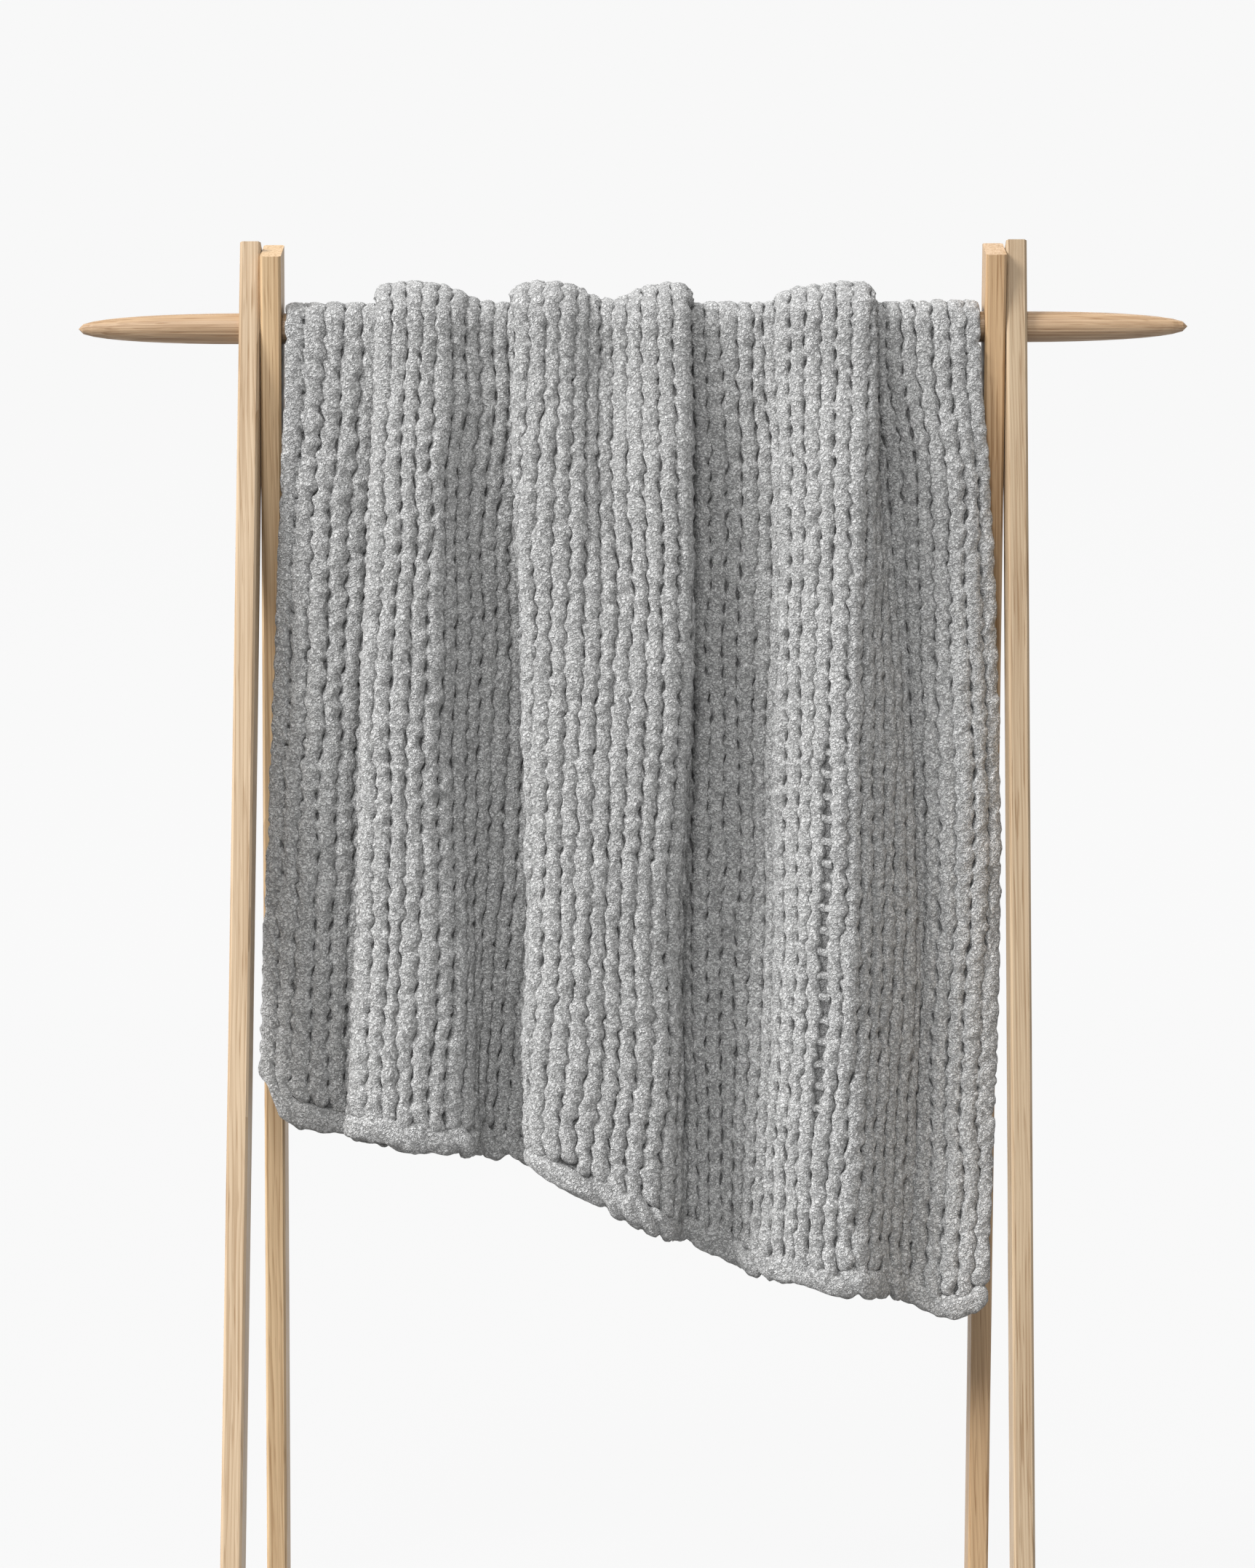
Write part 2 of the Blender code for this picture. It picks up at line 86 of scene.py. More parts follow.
# How the cloth's width folds, from its left edge to its right edge. Each bend has a place
# across the rack and a distance out from the rod's surface, in millimetres, at the rod,
# half a metre down the front and a metre down it.
STATION_DROP = 0.5
SLOW_OPENING = 0.4
Bend = namedtuple("Bend", "name rod_x rod_out middle_x middle_out low_x low_out")
BENDS = (
    Bend("left edge", -437, 5, -454, 0, -475, 8),
    Bend("left panel", -375, 5, -398, 12, -412, 20),
    Bend("first pleat, runs under", -275, 5, -322, -4, -326, 8),
    Bend("first pleat, hidden turn", -263, 11.5, -302, 6, -312, 18),
    Bend("first pleat, way back starts", -273, 18.5, -304, 24, -316, 36),
    Bend("first pleat, way back ends", -310, 18.5, -322, 36, -342, 46),
    Bend("first pleat, left edge", -319, 24, -333, 48, -353, 58),
    Bend("first pleat, crest", -309, 30, -317, 62, -337, 69),
    Bend("first pleat, shoulder", -245, 30, -252, 62, -262, 73),
    Bend("first pleat, brow", -222, 22, -226, 40, -212, 54),
    Bend("first recess, wall", -188, 8, -200, 14, -203, 18),
    Bend("first recess, floor", -150, 5, -146, -6, -176, -10),
    Bend("middle pleat, runs under", -110, 5, -116, -6, -128, -12),
    Bend("middle pleat, left hidden turn", -99, 11.5, -98, 8, -104, 4),
    Bend("middle pleat, left way back starts", -109, 18.5, -106, 26, -110, 24),
    Bend("middle pleat, left way back ends", -139, 18.5, -124, 38, -120, 40),
    Bend("middle pleat, left edge", -148, 24, -133, 50, -126, 54),
    Bend("middle pleat, left crest", -138, 30, -120, 66, -112, 70),
    Bend("middle pleat, left shoulder", -84, 30, -76, 75, -72, 80),
    Bend("middle pleat, dip", -36, 9, -28, 73, -32, 79),
    Bend("middle pleat, right shoulder", 20, 27, 26, 73, 6, 78),
    Bend("middle pleat, right crest", 58, 30, 50, 66, 33, 70),
    Bend("middle pleat, right edge", 68, 24, 62, 50, 46, 54),
    Bend("middle pleat, right way back starts", 59, 18.5, 56, 36, 46, 36),
    Bend("middle pleat, right way back ends", 46, 18.5, 46, 24, 46, 20),
    Bend("middle pleat, right hidden turn", 36, 11.5, 44, 8, 54, 4),
    Bend("second recess, starts", 47, 5, 60, -8, 78, -10),
    Bend("second recess, far side", 112, 5, 118, -9, 122, -9),
    Bend("second panel", 172, 6, 172, 2, 156, 12),
    Bend("third pleat, rise", 196, 20, 191, 34, 188, 44),
    Bend("third pleat, ladder", 256, 30, 247, 71, 224, 67),
    Bend("third pleat, crest", 290, 30, 263, 78, 266, 76),
    Bend("third pleat, right edge", 300, 24, 284, 64, 288, 62),
    Bend("third pleat, way back starts", 291, 18.5, 302, 45, 304, 45),
    Bend("third pleat, way back ends", 276, 18.5, 318, 27, 320, 28),
    Bend("third pleat, hidden turn", 265, 11.5, 332, 9, 336, 12),
    Bend("right panel, starts", 276, 5, 346, -6, 350, -2),
    Bend("right panel", 340, 5, 376, 2, 378, 3),
    Bend("right panel, middle", 398, 7, 420, 14, 412, 18),
    Bend("right edge", 436, 5, 457, 2, 451, 16),
)

# Ropes counted from the left edge that lie at these bends at every drop.
ROPES_BEFORE = {
    "left edge": 0,
    "first pleat, left edge": 10,
    "middle pleat, right edge": 37,
    "third pleat, ladder": 51,
    "right edge": 64,
}
ROPE_SPREAD = 0.030

# Where the front hem lies: across the rack, and down from the rod's axis.
HemPoint = namedtuple("HemPoint", "across drop")
FRONT_HEM = (
    HemPoint(-0.460, 0.960),
    HemPoint(-0.445, 0.993),
    HemPoint(-0.415, 1.008),
    HemPoint(-0.326, 1.023),
    HemPoint(-0.207, 1.041),
    HemPoint(-0.143, 1.049),
    HemPoint(-0.088, 1.080),
    HemPoint(-0.009, 1.115),
    HemPoint(0.050, 1.150),
    HemPoint(0.150, 1.191),
    HemPoint(0.260, 1.215),
    HemPoint(0.340, 1.222),
    HemPoint(0.400, 1.252),
    HemPoint(0.446, 1.238),
)

# Fine grid on which the drape is worked out.
SPLINE_STEPS = 12
ACROSS_SAMPLES = 1201
DROP_SAMPLES = 53
LONGEST_DROP = 1.30
SHALLOWEST_SCALE = 0.75
DEEPEST_SCALE = 2.2
SCALE_HALVINGS = 14
FLOOR_SOFTNESS = 0.0015
EXTRAPOLATED_DROP = 1.15
ROOM_STRIDE = 3
ROOM_WINDOW = 9
WIDEST_ROOM = 0.08
ROOM_SHARE = 0.94

# Yarn ropes: each knit column is two ropes, and each rope is a row of plump stitches.
ROPES_PER_PIECE = 16
RING_SPACING = 0.0042
RING_CROWDING = 0.40
OUTER_POINTS = 10
INNER_POINTS = 3
ROPE_END_INSET = 0.024
ROPE_END_SPREAD = 0.012
END_ROUNDING = 0.013
ROPE_CENTRE = 0.0015
ROPE_DEPTH_INSIDE = 0.0035
EDGE_ROPE_DEPTH_INSIDE = 0.0075
EDGE_ROPE_FULLNESS = 1.06
SQUARENESS = 0.92
STITCH_SLANT = 0.20
STITCH_SWING = 0.0018
CREASE_LENGTH = 0.0033
CREASE_AT_CROWN = 0.35
GROOVE_WANDER = 0.0040

# The ladder beside the third pleat's crest, where two ropes stand apart with short rungs across the gap.
LADDER_GROOVE = 51
LADDER_START = 0.20
LADDER_END = 0.70
LADDER_EASE = 0.05
LADDER_OPENING = 0.0062
RUNG_RADIUS = 0.0040
RUNG_DEPTH = 0.0016

# Cloth behind the ropes.
CORE_COLUMNS_PER_ROPE = 3
CORE_ROWS = 150
CORE_OUTER = 0.0024
CORE_INNER = 0.0030
PURL_DEPTH = 0.0016
CORE_SIDE_INSET = 0.007
CORE_HEM_INSET = 0.012

# Hem bands, where the stitches are cast on and off.
HEM_HALF_HEIGHT = 0.0190
HEM_OUTER = 0.0112
HEM_INNER = 0.0070
HEM_RING_SPACING = 0.0026
HEM_POINTS = 24
HEM_LUMPS = 30
HEM_SLANT = 0.36
HEM_CREASE_LENGTH = 0.0070
HEM_CREASE_DEPTH = 0.55

# Camera, fitted to the rod's tips, the boards and the blanket's outline in the photo.
IMAGE_WIDTH = 1725
IMAGE_HEIGHT = 2156
SENSOR = 36.0
ROD_TIP_LEFT_X = 109.6
ROD_TIP_RIGHT_X = 1633.8
ROD_AXIS_Y = 450.7
CAMERA_DISTANCE = 5.1
CAMERA_ROLL = math.radians(0.15)


# Drape


def bend_places(drop):
    """Across and outward places of every bend at one drop, in metres."""
    step = min(drop, EXTRAPOLATED_DROP) / STATION_DROP
    opened = min(step / SLOW_OPENING, 1.0)
    step *= opened * opened * (3 - 2 * opened)
    weights = ((1 - step) * (2 - step) / 2, step * (2 - step), step * (step - 1) / 2)
    across = [np.dot(weights, (b.rod_x, b.middle_x, b.low_x)) for b in BENDS]
    out = [np.dot(weights, (b.rod_out, b.middle_out, b.low_out)) for b in BENDS]
    return np.array(across) * MM, np.array(out) * MM


def back_bend_places(drop):
    """The back opens its folds like the front, but stays between the back legs."""
    opened = min(drop / STATION_DROP, 1.0)
    opened = opened * opened * (3 - 2 * opened)
    rod_across, rod_out = bend_places(0.0)
    across, out = bend_places(STATION_DROP)
    across = across * BACK_HALF_WIDTH / np.abs(across).max()
    return rod_across + opened * (across - rod_across), rod_out + opened * (out - rod_out)


def smooth_curve(points):
    """Points along a centripetal Catmull-Rom curve through the given points."""
    first = 2 * points[0] - points[1]
    last = 2 * points[-1] - points[-2]
    padded = np.vstack((first, points, last))
    p0, p1, p2, p3 = (padded[start:len(padded) - 3 + start, None] for start in range(4))
    gaps = np.sqrt(np.linalg.norm(np.diff(padded, axis=0), axis=1))
    k1 = gaps[:-2, None, None]
    k2 = k1 + gaps[1:-1, None, None]
    k3 = k2 + gaps[2:, None, None]
    k = k1 + (k2 - k1) * np.linspace(0, 1, SPLINE_STEPS, endpoint=False)[None, :, None]
    a1 = (k1 - k) / k1 * p0 + k / k1 * p1
    a2 = (k2 - k) / (k2 - k1) * p1 + (k - k1) / (k2 - k1) * p2
    a3 = (k3 - k) / (k3 - k2) * p2 + (k - k2) / (k3 - k2) * p3
    b1 = (k2 - k) / k2 * a1 + k / k2 * a2
    b2 = (k3 - k) / (k3 - k1) * a2 + (k - k1) / (k3 - k1) * a3
    curve = (k2 - k) / (k2 - k1) * b1 + (k - k1) / (k2 - k1) * b2
    return np.vstack((curve.reshape(-1, 2), points[-1:]))


def curve_with_lengths(across, out, depth_scale):
    level = THICKNESS_ON_ROD / 2 + ROD_CLEARANCE
    curve = smooth_curve(np.column_stack((across, level + (out - level) * depth_scale)))
    lengths = np.concatenate(([0.0], np.cumsum(np.linalg.norm(np.diff(curve, axis=0), axis=1))))
    return curve, lengths


def section(across, out):
    """The folded width at one drop, its folds as deep as the cloth's full width needs."""
    shallow, deep = SHALLOWEST_SCALE, DEEPEST_SCALE
    for _ in range(SCALE_HALVINGS):
        scale = (shallow + deep) / 2
        _, lengths = curve_with_lengths(across, out, scale)
        if lengths[-1] < FLAT_WIDTH:
            shallow = scale
        else:
            deep = scale
    curve, lengths = curve_with_lengths(across, out, (shallow + deep) / 2)
    bends = [number for number, bend in enumerate(BENDS) if bend.name in ROPES_BEFORE]
    held = [ROPES_BEFORE[BENDS[number].name] / ROPES for number in bends]
    even = np.linspace(0.0, lengths[-1], ACROSS_SAMPLES)
    share = np.interp(even, lengths[[number * SPLINE_STEPS for number in bends]], held)
    window = 2 * int(ROPE_SPREAD / even[1] / 2) + 1
    padded = np.pad(share, window // 2, mode="reflect", reflect_type="odd")
    share = np.convolve(padded, np.ones(window) / window, mode="valid")
    at = np.interp(np.linspace(0.0, 1.0, ACROSS_SAMPLES), share, even)
    return np.interp(at, lengths, curve[:, 0]), np.interp(at, lengths, curve[:, 1])


def uneven(share, drop):
    """Small sideways and outward sway, so that no fold hangs dead straight."""
    grown = np.clip(drop / SWAY_GROWTH, 0.0, 1.0)
    aside = np.sin(9.0 * share + 7.5 * drop) + 0.6 * np.sin(23.0 * share - 13.0 * drop + 1.0)
    outward = np.sin(14.0 * share + 9.0 * drop + 2.0)
    return SWAY * grown * aside * np.sin(math.pi * share), SWAY * grown * outward


def kept_outside(outward, drop):
    """Lift the cloth softly off the rod, and below it off the other half of the blanket."""
    resting = THICKNESS_ON_ROD / 2 + ROD_CLEARANCE
    floor = max(resting - INWARD_SLOPE * max(drop - INWARD_START, 0.0), INWARD_LIMIT)
    return floor + FLOOR_SOFTNESS * np.logaddexp(0.0, (outward - floor) / FLOOR_SOFTNESS)


def free_rooms(x, out, normal_x, normal_out):
    """How far each point of a section may grow outwards and inwards before it meets other cloth."""
    apart_x = x[None, ::ROOM_STRIDE] - x[::ROOM_STRIDE, None]
    apart_out = out[None, ::ROOM_STRIDE] - out[::ROOM_STRIDE, None]
    square = apart_x ** 2 + apart_out ** 2
    height = apart_x * normal_x[::ROOM_STRIDE, None] + apart_out * normal_out[::ROOM_STRIDE, None]
    rooms = []
    window = np.ones(ROOM_WINDOW) / ROOM_WINDOW
    for side in (1, -1):
        above = np.maximum(side * height, 1e-6)
        nearest = np.minimum((square / (2 * above) + (square == 0)).min(axis=1), WIDEST_ROOM)
        padded = np.pad(nearest, ROOM_WINDOW // 2, mode="edge")
        smooth = np.minimum(np.convolve(padded, window, mode="valid"), nearest * 1.15)
        rooms.append(np.interp(np.arange(len(x)), np.arange(0, len(x), ROOM_STRIDE), smooth))
    return rooms


class Drape:
    """The cloth's middle surface on one side of the rod, on a grid of drops and widths."""

    def __init__(self, places):
        self.drops = np.linspace(0.0, LONGEST_DROP, DROP_SAMPLES)
        shares = np.linspace(0.0, 1.0, ACROSS_SAMPLES)
        rows = []
        for drop in self.drops:
            x, out = section(*places(drop))
            aside, outward = uneven(shares, drop)
            x = x + aside
            out = kept_outside(out + outward, drop)
            slope_x, slope_out = np.gradient(x), np.gradient(out)
            size = np.hypot(slope_x, slope_out)
            normal_x, normal_out = -slope_out / size, slope_x / size
            rows.append((x, out, normal_x, normal_out, *free_rooms(x, out, normal_x, normal_out)))
        self.grids = np.array(rows).transpose(1, 0, 2)

    def at(self, share, drop):
        """Place across, distance out, outer normal in that plane, and room outside and inside."""
        row = np.clip(drop / self.drops[1], 0, DROP_SAMPLES - 1.001)
        column = np.clip(share * (ACROSS_SAMPLES - 1), 0, ACROSS_SAMPLES - 1.001)
        low, left = row.astype(int), column.astype(int)
        up, along = row - low, column - left
        near = self.grids[:, low, left] * (1 - along) + self.grids[:, low, left + 1] * along
        far = self.grids[:, low + 1, left] * (1 - along) + self.grids[:, low + 1, left + 1] * along
        return near * (1 - up) + far * up


def soft_least(value, limit):
    """Value kept under the limit without a crease."""
    return value / (1 + (value / limit) ** 4) ** 0.25


class Blanket:
    """Takes a place on the flat cloth, and a height above its middle, to the draped shape."""

    def __init__(self):
        self.front = Drape(bend_places)
        self.back = Drape(back_bend_places)
        self.shares = np.linspace(0.0, 1.0, ACROSS_SAMPLES)
        across = self.front.at(self.shares, np.ones(ACROSS_SAMPLES))[0]
        self.front_drops = np.interp(
            across, [p.across for p in FRONT_HEM], [p.drop for p in FRONT_HEM]
        )
        rod_out = self.front.at(self.shares, np.zeros(ACROSS_SAMPLES))[1]
        self.rod_arcs = math.pi * (ROD_RADIUS + rod_out)

    def layout(self, share, along):
        """Drop below the rod, angle over it, and the draped grid's six values."""
        front_drop = np.interp(share, self.shares, self.front_drops)
        arc = np.interp(share, self.shares, self.rod_arcs)
        past = along - front_drop
        turn = math.pi * (np.clip(past / arc, 0.0, 1.0) - 0.5)
        drop = np.maximum(-past, 0.0) + np.maximum(past - arc, 0.0)
        values = np.where(past > arc, self.back.at(share, drop), self.front.at(share, drop))
        return drop, turn, values

    def hanging(self, share, along):
        """Zero on the rod, one where the cloth hangs free of it."""
        drop, _, _ = self.layout(share, along)
        return np.minimum(drop / EASE_DROP, 1.0)

    def place(self, share, along, offset):
        """World places of points offset from the middle surface, kept out of other layers."""
        share, along, offset = np.broadcast_arrays(share, along, offset)
        drop, turn, (x, out, normal_x, normal_out, outside, inside) = self.layout(share, along)
        room = np.where(offset > 0, outside, inside) * ROOM_SHARE
        offset = np.sign(offset) * soft_least(np.abs(offset), room)
        radius = ROD_RADIUS + out + normal_out * offset
        height = ROD_HEIGHT + radius * np.cos(turn) - drop
        return np.stack((x + normal_x * offset, radius * np.sin(turn), height), axis=-1)


def soft_noise(u, v, seed):
    """Smooth random field with one random value at each whole u and v, from -1 to 1."""
    size = 256
    lattice = np.random.default_rng(seed).uniform(-1.0, 1.0, (size, size))
    row, column = np.floor(u).astype(int), np.floor(v).astype(int)
    up, along = u - row, v - column
    up, along = up * up * (3 - 2 * up), along * along * (3 - 2 * along)
    near = lattice[row % size, column % size] * (1 - along)
    near += lattice[row % size, (column + 1) % size] * along
    far = lattice[(row + 1) % size, column % size] * (1 - along)
    far += lattice[(row + 1) % size, (column + 1) % size] * along
    return near * (1 - up) + far * up


# Meshes


def new_piece(name, points, quads, triangles, crowns):
    """A smooth-shaded object from arrays of points and corners, with each point's crown value, which sets how much
    painted groove shade the pile gets there.
    """
    mesh = bpy.data.meshes.new(name)
    corners = np.concatenate((quads.ravel(), triangles.ravel()))
    sizes = np.concatenate((np.full(len(quads), 4), np.full(len(triangles), 3)))
    starts = np.concatenate(([0], np.cumsum(sizes)[:-1]))
    mesh.vertices.add(len(points))
    mesh.vertices.foreach_set("co", np.ascontiguousarray(points, dtype=np.float32).ravel())
    mesh.loops.add(len(corners))
    mesh.loops.foreach_set("vertex_index", corners.astype(np.int32))
    mesh.polygons.add(len(sizes))
    mesh.polygons.foreach_set("loop_start", starts.astype(np.int32))
    mesh.update(calc_edges=True)
    mesh.validate()
    mesh.shade_smooth()
    # The crown value drives painted shade: low values darken the yarn's colour where shade would fall.
    crown = mesh.attributes.new("crown", "FLOAT", "POINT")
    crown.data.foreach_set("value", np.ascontiguousarray(crowns, dtype=np.float32).ravel())
    piece = bpy.data.objects.new(name, mesh)
    bpy.context.collection.objects.link(piece)
    return piece


def tube_faces(rings, around, first):
    """Quads and end triangles of one closed tube whose points start at the first index."""
    ring = np.arange(rings - 1)[:, None] * around + first
    side = np.arange(around)[None, :]
    after = (side + 1) % around
    quads = np.stack((ring + side, ring + after, ring + around + after, ring + around + side), axis=-1)
    start_pole = first + rings * around
    last_ring = first + (rings - 1) * around
    side, after = side[0], after[0]
    start_cap = np.stack((np.full(around, start_pole), first + after, first + side), axis=-1)
    end_cap = np.stack((np.full(around, start_pole + 1), last_ring + side, last_ring + after), axis=-1)
    return quads.reshape(-1, 4), np.vstack((start_cap, end_cap))


def tubes_piece(name, tubes):
    """One piece from tubes; each is an array of rings of points, and their crown values, which set the painted groove
    shade.
    """
    points, crowns, quads, triangles = [], [], [], []
    first = 0
    for tube, crown in tubes:
        rings, around, _ = tube.shape
        tube_quads, tube_triangles = tube_faces(rings, around, first)
        poles = np.stack((tube[0].mean(axis=0), tube[-1].mean(axis=0)))
        points += [tube.reshape(-1, 3), poles]
        # The end poles get a crown value of nothing, so the painted shade is full at each tube's tip.
        crowns += [crown.ravel(), np.zeros(2)]
        quads.append(tube_quads)
        triangles.append(tube_triangles)
        first += rings * around + 2
    return new_piece(
        name, np.vstack(points), np.vstack(quads), np.vstack(triangles), np.concatenate(crowns)
    )


# Yarn ropes


def rope_outline():
    """Across and upward shares of the points round a rope, its outer side first."""
    outer = np.linspace(-math.pi / 2, math.pi / 2, OUTER_POINTS)
    inner = np.linspace(math.pi / 2, 3 * math.pi / 2, INNER_POINTS + 2)[1:-1]
    angle = np.concatenate((outer, inner))
    across = np.sign(np.sin(angle)) * np.abs(np.sin(angle)) ** SQUARENESS
    upward = np.sign(np.cos(angle)) * np.abs(np.cos(angle)) ** SQUARENESS
    return across, upward


def ladder_opening(along):
    """Share of the full gap that the ladder's two ropes stand apart."""
    rise = np.clip((along - LADDER_START) / LADDER_EASE, 0.0, 1.0)
    fall = np.clip((LADDER_END - along) / LADDER_EASE, 0.0, 1.0)
    return np.minimum(rise, fall)


def groove_place(groove, side, along, settings):
    """How far one side of the groove before a rope lies from its even place, in metres."""
    flat = np.zeros_like(along)
    place = GROOVE_WANDER * soft_noise(along / 0.085, flat + groove * 0.45, settings.seed + 31)
    place += 0.0018 * soft_noise(along / 0.021, flat + groove * 1.7, settings.seed + 37)
    if groove == LADDER_GROOVE:
        place += side * ladder_opening(along) * LADDER_OPENING
    if abs(groove - LADDER_GROOVE) == 1:
        place += (groove - LADDER_GROOVE) * ladder_opening(along) * LADDER_OPENING * 0.4
    if groove in (0, ROPES):
        place *= 0.3
    return place


def rope(blanket, settings, index):
    """Places and crown values of one rope's points, from the front hem to the back hem; the crown values set its
    painted shade.
    """
    random = np.random.default_rng(settings.seed + index)
    rings = int((FLAT_LENGTH - 2 * ROPE_END_INSET) / RING_SPACING) + 1
    even = np.linspace(
        ROPE_END_INSET + ROPE_END_SPREAD * random.uniform(-1, 1),
        FLAT_LENGTH - ROPE_END_INSET - ROPE_END_SPREAD * random.uniform(-1, 1), rings,
    )[:, None]
    across, upward = (values[None, :] for values in rope_outline())
    leans = -1.0 if index % 2 else 1.0

    # Courses drift together over the cloth, so that neighbouring stitches stay side by side.
    slip = 0.38 * random.uniform(-1.0, 1.0)
    drift = 0.45 * soft_noise(even / 0.16, np.full_like(even, index * 0.30), settings.seed + 91)
    phase = even / settings.stitch_length + slip + drift
    crowding = RING_CROWDING * settings.stitch_length / (2 * math.pi)
    along = even - crowding * np.sin(2 * math.pi * phase)
    course = along / settings.stitch_length + slip + drift + STITCH_SLANT * across * leans
    boundary = np.rint(course)
    gap = (course - boundary) * settings.stitch_length

    count = int(FLAT_LENGTH / settings.stitch_length) + 6
    depths = settings.pinch_depth * np.minimum(random.gamma(0.6, 1.3, count), 3.0)
    deep = depths[np.clip(boundary.astype(int) + 2, 0, count - 1)]
    hollow = np.exp(-(gap / CREASE_LENGTH) ** 2)
    crease = deep * hollow * (CREASE_AT_CROWN + (1.0 - CREASE_AT_CROWN) * across ** 2)

    hanging = blanket.hanging((index + 0.5) / ROPES, along)
    height = settings.rope_height * (0.80 + 0.20 * hanging) - ROPE_CENTRE
    around = index * 9.3 + across * 1.9 + upward * 1.2
    swell = soft_noise(course - 0.5, np.full_like(course, index * 1.0), settings.seed + 5)
    lumps = soft_noise(along / 0.0085, around, settings.seed + 7)
    lumps += 0.7 * soft_noise(along / 0.0050, around * 1.9, settings.seed + 8)
    height = height * (1.0 + 0.20 * swell + 0.20 * lumps) * (1.0 - 1.1 * crease)
    ends = np.minimum(along - along[0], along[-1] - along) + RING_SPACING / 3
    rounding = np.sqrt(1.0 - (1.0 - np.minimum(ends / END_ROUNDING, 1.0)) ** 2)

    left = groove_place(index, 1, along, settings)
    right = groove_place(index + 1, -1, along, settings)
    half_width = (ROPE_PITCH + right - left) / 2 * settings.fill
    half_width = half_width * (1.0 + 0.11 * swell + 0.13 * lumps - crease * across ** 2)
    inside = ROPE_DEPTH_INSIDE
    if index in (0, ROPES - 1):
        inside = EDGE_ROPE_DEPTH_INSIDE
        half_width = half_width * EDGE_ROPE_FULLNESS
    depth = np.where(upward > 0, height, inside * (0.6 + 0.4 * hanging)) * rounding
    swing = STITCH_SWING * np.sin(2 * math.pi * course) * leans
    aside = (left + right) / 2 + swing + across * half_width * rounding
    share = (index + 0.5) / ROPES + aside / FLAT_WIDTH
    # Painted shade: the crown value is full only on the rope's top, falls to nothing on its sides and underside, and
    # dips in the deepest creases between stitches, so the colour darkens there.
    crown = np.clip(upward, 0.0, 1.0) * (1.0 - np.clip(0.8 * deep * hollow * across ** 2, 0.0, 0.6))
    return blanket.place(share, along, ROPE_CENTRE + upward * depth), crown


def make_ropes(blanket, settings):
    pieces = []
    for start in range(0, ROPES, ROPES_PER_PIECE):
        tubes = [rope(blanket, settings, index) for index in range(start, start + ROPES_PER_PIECE)]
        pieces.append(tubes_piece(f"yarn_ropes_{start // ROPES_PER_PIECE + 1}", tubes))
    return pieces


def make_ladder_rungs(blanket, settings):
    """Short strands that cross the ladder, one to each stitch, with a gap above each, backed by the closed sheet."""
    rungs = []
    around = 10
    angle = np.linspace(0, 2 * math.pi, around, endpoint=False)[None, :]
    across = np.linspace(-1.0, 1.0, 9)[:, None]
    places = np.arange(LADDER_START, LADDER_END, settings.stitch_length)
    for number, middle in enumerate(places):
        bow = 0.5 * RUNG_RADIUS * across ** 2 * (-1) ** number
        radius = RUNG_RADIUS * (0.85 + 0.3 * across ** 2)
        share = LADDER_GROOVE / ROPES + across * ROPE_PITCH * 0.45 / FLAT_WIDTH + 0.0 * angle
        along = middle + bow + 1.6 * radius * np.cos(angle)
        offset = RUNG_DEPTH + radius * np.sin(angle)
        # Painted shade: each rung's colour darkens towards its underside, and its top still gets some.
        crown = np.clip(np.sin(angle), 0, 1) * 0.55 + 0.0 * across
        rungs.append((blanket.place(share, along, offset), crown))
    return tubes_piece("ladder_rungs", rungs)


# Hem bands


def make_hem(blanket, settings, name, along_middle, seed):
    """A lumpy flattened band along one hem, with a slanted lump for each knit column."""
    rings = int(FLAT_WIDTH / HEM_RING_SPACING)
    share = np.linspace(0.002, 0.998, rings)[:, None]
    angle = np.linspace(0, 2 * math.pi, HEM_POINTS, endpoint=False)[None, :]
    height, outward = np.cos(angle), np.sin(angle)
    random = np.random.default_rng(seed)
    drift = 1.3 * soft_noise(share * 12, share * 0, seed)
    column = share * HEM_LUMPS + HEM_SLANT * height + drift
    boundary = np.rint(column)
    gap = (column - boundary) * FLAT_WIDTH / HEM_LUMPS
    depths = HEM_CREASE_DEPTH * random.uniform(0.1, 1.0, HEM_LUMPS + 6)
    crease = depths[np.clip(boundary.astype(int) + 2, 0, HEM_LUMPS + 5)]
    crease = crease * np.exp(-(gap / HEM_CREASE_LENGTH) ** 2)
    swell = soft_noise(column - 0.5, share * 0, seed + 4)
    fine = soft_noise(share * 110, angle * 2.2, seed + 1) + 0.6 * soft_noise(share * 210, angle * 4, seed + 2)
    full = (1.0 + 0.26 * swell + 0.17 * fine) * (1.0 - crease)
    ends = np.minimum(share - share[0], share[-1] - share) * FLAT_WIDTH + HEM_RING_SPACING / 3
    rounding = np.sqrt(1.0 - (1.0 - np.minimum(ends / END_ROUNDING, 1.0)) ** 2)
    reach = np.where(outward > 0, HEM_OUTER, HEM_INNER) * full * rounding
    ripple = 0.0025 * soft_noise(share * 22, share * 0 + 3, seed + 3)
    along = along_middle + ripple + HEM_HALF_HEIGHT * height * (0.3 + 0.7 * full) * rounding
    band = blanket.place(share, along, 0.001 + outward * reach)
    # Painted shade: the colour darkens in the creases between lumps and towards the band's inner side.
    crown = np.clip(outward + 0.25, 0.0, 1.0) * (1.0 - crease) + 0.25 * (outward <= 0)
    return tubes_piece(name, [(band, crown)])


# Cloth behind the ropes


